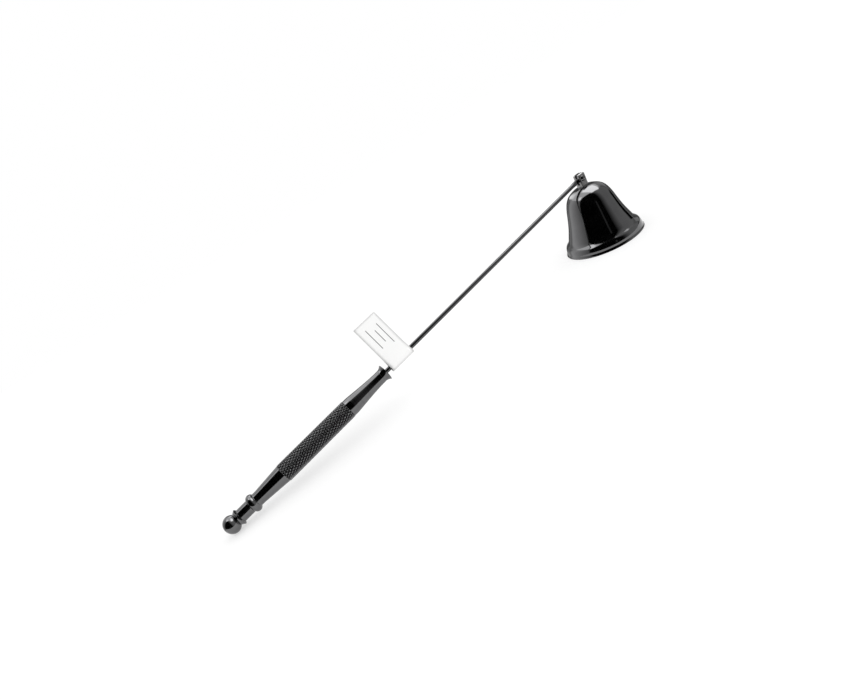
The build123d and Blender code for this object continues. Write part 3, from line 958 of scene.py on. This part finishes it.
def nose_ferrule_profile():
    """Outline of the hollow-sided cone in front of the grip."""
    handle, at = settings().handle, Stations()
    hole, bar, tip, spigot = bore_radius(), handle.bar / 2, handle.nose_tip / 2, handle.spigot / 2
    end = at.nose - handle.spigot_length
    cone = [(bar, at.nose_cone)]
    for along, fall in zip(NOSE_LENGTH_SHARES, NOSE_FALL_SHARES):
        cone.append((bar - fall * (bar - tip), at.nose_cone + along * handle.nose_cone))
    cone.append((tip, at.collar))
    slope = (cone[1][0] - cone[0][0], cone[1][1] - cone[0][1])
    return ([(hole, end), (spigot, end), (spigot, at.nose), (bar, at.nose)] + flow(cone, slope, (0, 1))
            + [(hole, at.collar)])


def nose_collar_profile():
    """Outline of the flared collar with its dished front."""
    handle, at = settings().handle, Stations()
    hole, tip, rim = bore_radius(), handle.nose_tip / 2, handle.collar_rim / 2
    rim_back = at.front - handle.collar_edge
    middle = (tip + FLARE_RISE_SHARE * (rim - tip),
              at.collar + FLARE_LENGTH_SHARE * (rim_back - at.collar))
    floor = at.front - handle.collar_dish
    return ([(hole, at.collar)] + arc((tip, at.collar), middle, (rim, rim_back), FLARE_STEPS)
            + [(rim, at.front), (rim - handle.collar_wall, at.front), (handle.dish_floor / 2, floor),
               (hole, floor)])


class SNUFFER_OT_handle_pieces(bpy.types.Operator):
    """Adds the end ball, both ferrules and the collar, which are turned pieces"""
    bl_idname = "snuffer.handle_pieces"
    bl_label = "Turned Handle Pieces"

    def execute(self, context):
        for name, node, profile, closed in (
                ("ball_end", "end_ball", end_ball_profile(), False),
                ("beaded_ferrule", "tail_ferrule", tail_ferrule_profile(), True),
                ("cone_ferrule", "nose_ferrule", nose_ferrule_profile(), True),
                ("flared_collar", "nose_collar", nose_collar_profile(), True)):
            finish_piece(turn(profile, closed), name, node, "handle",
                         plated_material("handle plating"), handle_place(), crease=TURNED_SHARP_ANGLE)
        return {"FINISHED"}


def knurl_cell(bm, valley, half_turn):
    """One diamond of the knurl, on +X: four corners in the grooves and a raised flat."""
    knurl = settings().knurl
    made = bmesh.ops.create_circle(bm, cap_ends=True, segments=4, radius=1.0)
    for vert in made["verts"]:
        around, along = vert.co.x * half_turn, vert.co.y * knurl.pitch / 2
        vert.co = (valley * cos(around), valley * sin(around), along)
    bm.normal_update()
    if bm.faces[:][0].normal.x < 0:
        bmesh.ops.reverse_faces(bm, faces=bm.faces)
    bmesh.ops.inset_individual(bm, faces=bm.faces[:], thickness=knurl.groove, depth=knurl.depth)


# Rows of diamonds beyond what the sleeve's length needs, so that both ends can be cut straight
SPARE_ROWS = 4


def knurl_rows():
    """All the diamonds of the knurl, in rows that reach past both ends of the sleeve."""
    handle, knurl = settings().handle, settings().knurl
    step = FULL_TURN / knurl.starts
    rise = knurl.pitch / 2
    bm = bmesh.new()
    knurl_cell(bm, handle.grip / 2 - knurl.depth, step / 2)
    bmesh.ops.spin(bm, geom=everything(bm), cent=(0, 0, 0), axis=(0, 0, 1),
                   angle=step * (knurl.starts - 1), steps=knurl.starts - 1, use_duplicate=True)
    ring = everything(bm)
    for row in range(1, int(handle.grip_length / rise) + SPARE_ROWS):
        copy = bmesh.ops.duplicate(bm, geom=ring)["geom"]
        turned_row = Matrix.Rotation((row % 2) * step / 2, 4, "Z")
        bmesh.ops.transform(bm, matrix=Matrix.Translation((0, 0, row * rise)) @ turned_row,
                            verts=only(BMVert, copy))
    bmesh.ops.remove_doubles(bm, verts=bm.verts, dist=5 * SAME_POINT)
    bmesh.ops.translate(bm, verts=bm.verts, vec=(0, 0, Stations().grip - rise))
    return bm


class SNUFFER_OT_knurled_grip(bpy.types.Operator):
    """Adds the knurled sleeve, each diamond of it raised"""
    bl_idname = "snuffer.knurled_grip"
    bl_label = "Knurled Grip"

    def execute(self, context):
        at = Stations()
        bm = knurl_rows()
        for station, side in ((at.grip, -1), (at.nose, 1)):
            bmesh.ops.bisect_plane(bm, geom=everything(bm), dist=SAME_POINT, plane_co=(0, 0, station),
                                   plane_no=(0, 0, side), clear_outer=True)
        inner_loops = []
        for station in (at.grip, at.nose):
            edges = [e for e in bm.edges if e.is_boundary
                     and all(abs(v.co.z - station) < 10 * SAME_POINT for v in e.verts)]
            made = bmesh.ops.extrude_edge_only(bm, edges=edges)["geom"]
            for vert in only(BMVert, made):
                shrink = bore_radius() / sqrt(vert.co.x ** 2 + vert.co.y ** 2)
                vert.co = (vert.co.x * shrink, vert.co.y * shrink, vert.co.z)
            inner_loops += [e for e in only(BMEdge, made) if e.is_boundary]
        bmesh.ops.bridge_loops(bm, edges=inner_loops)
        bmesh.ops.recalc_face_normals(bm, faces=bm.faces)
        finish_piece(bm, "diamond_grip", "knurled_grip", "handle", knurl_material(),
                     handle_place(), edge=settings().knurl.crest_round, crease=KNURL_SHARP_ANGLE)
        return {"FINISHED"}


# The paper tag

# The leaves are drawn a little thinner than they are, so that they don't touch
PAPER_SHARE = 0.98


def tag_path():
    """Middle line of the folded strip, in the plane across the stem, from one free end to the other."""
    tag, stem = settings().tag, settings().stem
    inner = stem.wire / 2 + tag.clearance
    centre = inner + tag.paper - tag.loop_reach
    radius = inner + tag.paper / 2
    half = tag.paper / 2
    lean = asin((radius - half) / (tag.loop_join - centre))
    flag = [(tag.reach + (tag.loop_join - tag.reach) * i / LEAF_STEPS, half) for i in range(LEAF_STEPS)]
    turns = [pi / 2 - lean + (pi + 2 * lean) * i / FOLD_STEPS for i in range(FOLD_STEPS + 1)]
    loop = [(centre + radius * cos(t), radius * sin(t)) for t in turns]
    back = [(x, -y) for x, y in flag[::-1]]
    return flag + [(tag.loop_join, half)] + loop + [(tag.loop_join, -half)] + back


class SNUFFER_OT_paper_tag(bpy.types.Operator):
    """Adds the paper strip that is folded round the stem and glued to itself"""
    bl_idname = "snuffer.paper_tag"
    bl_label = "Paper Tag"

    def execute(self, context):
        tag, at = settings().tag, Stations()
        start = at.front + tag.gap
        bm = bmesh.new()
        verts = [bm.verts.new((x, y, start)) for x, y in tag_path()]
        edges = [bm.edges.new(pair) for pair in zip(verts, verts[1:])]
        for _ in range(TAG_STRIPS):
            made = bmesh.ops.extrude_edge_only(bm, edges=edges)["geom"]
            edges = [e for e in only(BMEdge, made) if all(v in made for v in e.verts)]
            bmesh.ops.translate(bm, verts=only(BMVert, made), vec=(0, 0, tag.width / TAG_STRIPS))
        bmesh.ops.recalc_face_normals(bm, faces=bm.faces)
        place = handle_place() @ Matrix.Rotation(pi - tag.tilt, 4, "Z")
        piece = finish_piece(bm, "folded_tag", "paper_tag", "handle",
                             paper_material(place), place, edge=0.0)
        thick = piece.modifiers.new("paper", "SOLIDIFY")
        thick.thickness = tag.paper * PAPER_SHARE
        thick.offset = 0.0
        return {"FINISHED"}


# Ruled lines on the tag: where they lie across it, and where they start and end along it, as shares
RULES = ((0.3, 0.36, 0.84), (0.55, 0.42, 0.72), (0.76, 0.3, 0.8))
FIBRE_NOISE = (2600.0, 6.0, 0.7)
FIBRE_STRETCH = 0.3
FIBRE_SPREAD = (0.3, 0.7, 0.0, 0.04)
FIBRE_STRENGTH = 0.1
FIBRE_HEIGHT = 0.00005
PAPER_ROUGHNESS = 0.5


def strip_mask(tree, value, low, high, softness):
    """Mask of a strip between two values, with soft edges."""
    rising = spread(tree, value, low - softness / 2, low + softness / 2, 0.0, 1.0)
    falling = spread(tree, value, high - softness / 2, high + softness / 2, 1.0, 0.0)
    return math_node(tree, "MULTIPLY", rising, falling)


def patch_mask(tree, place, across, along, softness):
    """Mask of a patch on the tag, from its ends across the leaf and along it."""
    return math_node(tree, "MULTIPLY", strip_mask(tree, place["Z"], *across, softness),
                     strip_mask(tree, place["X"], *along, softness))


def paper_material(place):
    """Coated paper with faint fibres and ruled lines, and painted shade greying it towards its edges."""
    tag, finish = settings().tag, settings().finish
    paper, grey, ink = [(*colour, 1) for colour in (finish.paper, finish.paper_edge_shade, finish.ink)]
    material, tree, shader = new_material("coated paper")
    spot = separated(tree, own_coordinates(tree, place))
    fibres = noise(tree, own_coordinates(tree, place, FIBRE_STRETCH), *FIBRE_NOISE)
    start = Stations().front + tag.gap
    # Painted shade: the paper is mixed towards grey in a soft strip along its edges
    clear = patch_mask(tree, spot, (start, start + tag.width), (-tag.loop_reach, tag.reach),
                       2 * tag.edge_shade_width)
    white = mixed(tree, spread(tree, fibres, *FIBRE_SPREAD), paper, grey)
    tone = mixed(tree, spread(tree, clear, 0.5, 1.0, 1.0, 0.0), white, grey)
    half = tag.rule_width / 2
    for across, begin, end in RULES:
        middle = start + across * tag.width
        ends = (begin * tag.reach, end * tag.reach)
        line = patch_mask(tree, spot, (middle - half, middle + half), ends, half)
        tone = mixed(tree, line, tone, ink)
    fill(tree, shader, {"Base Color": tone, "Roughness": PAPER_ROUGHNESS,
                        "Normal": bumped(tree, fibres, FIBRE_STRENGTH, FIBRE_HEIGHT)})
    return material


# The stage

def camera_turn():
    """Turn of the camera, which looks ahead, then down, and is then rolled."""
    stage = settings().stage
    return (Matrix.Rotation(-stage.heading, 4, "Z") @ Matrix.Rotation(pi / 2 - stage.dip, 4, "X")
            @ Matrix.Rotation(-stage.roll, 4, "Z"))


def glowing_material(name, base, roughness, glow):
    """Material without gloss that glows white, its node tree and the shader."""
    material, tree, shader = new_material(name)
    fill(tree, shader, {"Base Color": base, "Roughness": roughness, "Specular IOR Level": 0.0,
                        "Emission Color": WHITE, "Emission Strength": glow})
    return material, tree, shader


# The floor's own colour keeps a soft shadow, and its glow makes it up to white
FLOOR_COLOUR = (0.52, 0.52, 0.52, 1)
FLOOR_ROUGHNESS = 0.9
FLOOR_GLOW = 0.53
# Distance from which on the camera sees things
CLIP_START = 0.005

# What polished metal sees round it. Walls go by name, heading, half width, lowest and highest angle and
# softness, all in degrees, where 0 is +Y and 90 is +X. The last number is brightness. The rest is black.
WALLS = (
    ("left wall", -36, 48, -90, 90, 4, 0.42),
    ("light on the left wall", -24, 28, -90, 90, 50, 1.1),
    ("corner", 1, 12, -14, 22, 8, 0.42),
    ("right wall", 122, 36, -90, 90, 26, 0.46),
    ("back wall", 71, 15, -90, 90, 4, 0.6),
    ("gap between the walls", 93.5, 8.5, -20, 4, 4, 0.0),
    ("curtain", 35, 22, 6, 90, 6, 0.12),
    ("gap over the curtain", 40, 5, 26, 60, 8, 0.02),
    ("floor behind", 2, 15, -90, -6, 6, 0.6),
    ("floor behind the bell", 46, 30, -90, -8, 6, 0.28),
    ("skirting", 45, 37, -12, 7, 5, 0.15),
    ("gap in the front card", -168, 2.2, 8, 24, 3, 0.11),
)
# Softboxes overhead go by name and by how far they are turned from +Y, in degrees, then by their left,
# right, front and back ends and softness, in metres from the point over the bell, then by brightness
SOFTBOXES = (
    ("side_glow", 0.0, 0.2, 0.6, -0.1, 0.25, 0.2, 1.0),
    ("main_softbox", 22.5, -0.43, 0.46, -0.1, 0.5, 0.035, 1.9),
    ("far_softbox", 25.0, -0.33, -0.07, 0.4, 1.5, 0.13, 3.0),
    ("corner_softbox", 0.0, -0.36, -0.17, 0.03, 0.14, 0.03, 3.5),
    ("end_softbox", 0.0, 0.06, 0.43, -0.185, 0.19, 0.035, 4.5),
)


def panel_group():
    """Mask of a panel: 1 on it and 0 off it, with soft edges."""
    group, inside, outside = new_group(
        "panel mask",
        [(name, "NodeSocketFloat", 0.0) for name in ("Across", "Across Low", "Across High", "Along",
                                                     "Along Low", "Along High", "Softness")],
        [("Mask", "NodeSocketFloat")])
    given = inside.outputs
    mask = 1.0
    for outer, inner in (("Across", "Across Low"), ("Across High", "Across"), ("Along", "Along Low"),
                         ("Along High", "Along")):
        inset = math_node(group, "SUBTRACT", given[outer], given[inner])
        raised = math_node(group, "ADD", math_node(group, "DIVIDE", inset, given["Softness"]), 0.5)
        mask = math_node(group, "MULTIPLY", spread(group, raised, 0.0, 1.0, 0.0, 1.0), mask)
    group.links.new(mask, outside.inputs["Mask"])
    return group


def panel_mask(tree, label, across, along, limits, softness):
    """Mask of one wall or softbox, from two coordinates and its limits in them."""
    low, high, near, far = limits
    mask = group_node(tree, "panel mask", panel_group, {
        "Across": across, "Across Low": low, "Across High": high, "Along": along, "Along Low": near,
        "Along High": far, "Softness": softness})["Mask"]
    mask.node.label = label
    return mask


def studio_world():
    """White sky, which polished metal sees as the walls of a studio."""
    world = bpy.data.worlds.new("studio")
    world.use_nodes = True
    tree = world.node_tree
    ahead = add_node(tree, "ShaderNodeTexCoord", {}).outputs["Generated"]
    toward = separated(tree, ahead)
    heading = math_node(tree, "ARCTAN2", toward["X"], toward["Y"])
    elevation = math_node(tree, "ARCSINE", toward["Z"])
    seen = BLACK
    for label, centre, half_width, low, high, softness, brightness in WALLS:
        away = math_node(tree, "WRAP", math_node(tree, "SUBTRACT", heading, radians(centre)), pi, -pi)
        limits = [radians(limit) for limit in (-half_width, half_width, low, high)]
        mask = panel_mask(tree, label, away, elevation, limits, radians(softness))
        seen = mixed(tree, mask, seen, (brightness, brightness, brightness, 1))
    by_metal = add_node(tree, "ShaderNodeLightPath", {}).outputs["Is Glossy Ray"]
    fill(tree, tree.nodes["Background"], {"Color": mixed(tree, by_metal, WHITE, seen), "Strength": 1.0})
    return world


def softbox_material(name, limits, softness, brightness, place):
    """Light of a softbox, which fades out at its edges."""
    material, tree, shader = glowing_material(name, BLACK, 1.0, brightness)
    spot = separated(tree, own_coordinates(tree, place))
    fill(tree, shader, {"Alpha": panel_mask(tree, name, spot["X"], spot["Y"], limits, softness)})
    return material


def add_softboxes():
    """Hangs the softboxes, which only polished metal sees, one a little under the other."""
    stage = settings().stage
    for step, (name, heading, left, right, front, back, softness, brightness) in enumerate(SOFTBOXES):
        height = stage.softbox_height - step * stage.softbox_step
        place = Matrix.Translation((0, 0, height)) @ Matrix.Rotation(-radians(heading), 4, "Z")
        bm = block(right - left + softness, back - front + softness, stage.softbox_step / 5, 0)
        bmesh.ops.translate(bm, verts=bm.verts, vec=((left + right) / 2, (front + back) / 2, 0))
        bmesh.ops.delete(bm, geom=[face for face in bm.faces if face.normal.z > -0.5], context="FACES")
        bmesh.ops.transform(bm, matrix=place, verts=bm.verts)
        box = as_object(bm, name)
        limits = (left, right, front, back)
        box.data.materials.append(softbox_material(name, limits, softness, brightness, place))
        for ray in ("camera", "diffuse", "transmission", "volume_scatter", "shadow"):
            setattr(box, "visible_" + ray, False)


def add_floor():
    """Lays the floor in two parts, of which polished metal sees only the one under the object."""
    stage = settings().stage
    white = glowing_material("floor white", FLOOR_COLOUR, FLOOR_ROUGHNESS, FLOOR_GLOW)[0]
    sides = ((stage.table_left, 0, -1, 0), (stage.table_right, 0, 1, 0),
             (0, stage.table_front, 0, -1), (0, stage.table_back, 0, 1))
    for name, is_table in (("table_floor", True), ("far_floor", False)):
        bm = bmesh.new()
        bmesh.ops.create_grid(bm, x_segments=1, y_segments=1, size=stage.floor / 2)
        for x, y, out_x, out_y in sides:
            bmesh.ops.bisect_plane(bm, geom=everything(bm), dist=SAME_POINT, plane_co=(x, y, 0),
                                   plane_no=(out_x, out_y, 0))
        for face in bm.faces[:]:
            middle = face.calc_center_median()
            inside = all((middle.x - x) * out_x + (middle.y - y) * out_y < 0
                         for x, y, out_x, out_y in sides)
            if inside != is_table:
                bm.faces.remove(face)
        floor = as_object(bm, name)
        floor.data.materials.append(white)
        floor.visible_glossy = is_table


class SNUFFER_OT_stage(bpy.types.Operator):
    """Adds the camera, the floor and the studio round them"""
    bl_idname = "snuffer.stage"
    bl_label = "Stage"

    def execute(self, context):
        stage = settings().stage
        lens = bpy.data.cameras.new("camera")
        lens.lens = stage.focal_pixels / stage.picture_width * lens.sensor_width
        lens.clip_start = CLIP_START
        camera = bpy.data.objects.new("camera", lens)
        camera.matrix_world = Matrix.Translation(stage.camera_place) @ camera_turn()
        context.scene.collection.objects.link(camera)
        context.scene.camera = camera
        context.scene.view_settings.view_transform = "Standard"
        add_floor()
        add_softboxes()
        context.scene.world = studio_world()
        return {"FINISHED"}


# The sidebar, and the run from top to bottom

OPERATORS = (SNUFFER_OT_bell_shell, SNUFFER_OT_hinge_fork, SNUFFER_OT_stud_fasteners,
             SNUFFER_OT_hinge_pin, SNUFFER_OT_stem, SNUFFER_OT_handle_pieces, SNUFFER_OT_knurled_grip,
             SNUFFER_OT_paper_tag, SNUFFER_OT_stage)
GROUPS = (BellSizes, HingeSizes, StemSizes, HandleSizes, KnurlSizes, TagSizes, Finish, StageSettings,
          Settings)


class SNUFFER_PT_panel(bpy.types.Panel):
    """Lists the steps that build the snuffer"""
    bl_label = "Candle Snuffer"
    bl_idname = "SNUFFER_PT_panel"
    bl_space_type = "VIEW_3D"
    bl_region_type = "UI"
    bl_category = "Snuffer"

    def draw(self, context):
        for operator in OPERATORS:
            self.layout.operator(operator.bl_idname)


def register():
    """Registers the settings, the operators and the panel."""
    for item in GROUPS + OPERATORS + (SNUFFER_PT_panel,):
        bpy.utils.register_class(item)
    bpy.types.Scene.snuffer = bpy.props.PointerProperty(type=Settings)


def unregister():
    """Takes out what register put in."""
    del bpy.types.Scene.snuffer
    for item in reversed(GROUPS + OPERATORS + (SNUFFER_PT_panel,)):
        bpy.utils.unregister_class(item)


def main():
    """Builds every piece and the stage."""
    register()
    bpy.ops.snuffer.bell_shell()
    bpy.ops.snuffer.hinge_fork()
    bpy.ops.snuffer.stud_fasteners()
    bpy.ops.snuffer.hinge_pin()
    bpy.ops.snuffer.stem()
    bpy.ops.snuffer.handle_pieces()
    bpy.ops.snuffer.knurled_grip()
    bpy.ops.snuffer.paper_tag()
    bpy.ops.snuffer.stage()


if __name__ == "__main__":
    main()
